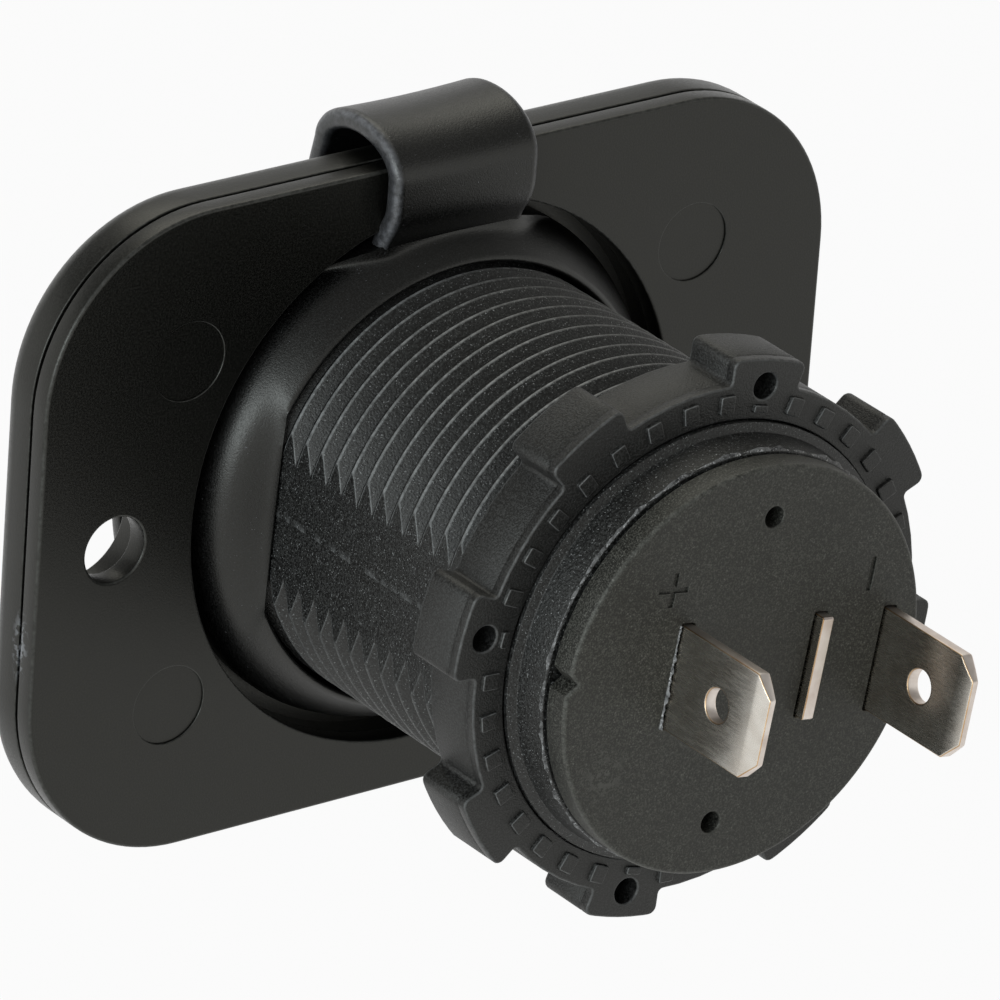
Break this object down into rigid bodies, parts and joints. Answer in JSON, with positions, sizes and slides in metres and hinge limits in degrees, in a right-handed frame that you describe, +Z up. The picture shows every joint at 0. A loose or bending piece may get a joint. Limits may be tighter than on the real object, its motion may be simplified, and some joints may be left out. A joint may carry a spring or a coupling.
{
  "type": "panel-mount 12 V power socket",
  "caption": "Panel-mounted 12 V power socket: a threaded barrel with a lugged ring nut and blade terminals, on a rounded screw plate, with a strap-held rubber dust cap over the mouth.",
  "frame": {"origin": "on the socket's axis at the plate's back face, midway between the two screw holes", "axes": "+Y along the socket's axis towards the terminals, +Z up towards the cap's strap, +X along the row of screw holes towards the positive blade"},
  "size_m": [0.0556, 0.0461, 0.0427],
  "materials": {
    "plate_plastic": "smooth satin black moulded plastic",
    "body_plastic": "matte black filled plastic with a fine sparkling grain",
    "disc_plastic": "matte black moulded plastic",
    "strap_rubber": "satin black rubber",
    "plated_metal": "nickel-plated strip, satin faces and bright sheared edges",
    "contact_brass": "bright brass",
    "washer_fibre": "dark brown fibre"
  },
  "bodies": {
    "socket": {"front_plate": "plate_plastic", "back_plate": "plate_plastic", "socket_body": "body_plastic", "contact_shell": "plated_metal", "insulating_washer": "washer_fibre", "rear_washer": "washer_fibre", "centre_contact": "contact_brass", "contact_rivet": "contact_brass", "positive_terminal": "plated_metal", "negative_terminal": "plated_metal", "rear_disc": "disc_plastic", "strap_ring": "strap_rubber"},
    "nut": {"retaining_nut": "body_plastic"},
    "cap": {"dust_cap": "strap_rubber"}
  },
  "joints": [
    {"name": "cap_hinge", "type": "hinge", "parent": "socket", "child": "cap", "pos_m": [0, -0.00278, 0.02255], "axis": [-1, 0, 0], "range_deg": [0, 120]},
    {"name": "nut_travel", "type": "slide", "parent": "socket", "child": "nut", "axis": [0, -1, 0], "range_m": [0, 0.01915]}
  ]
}
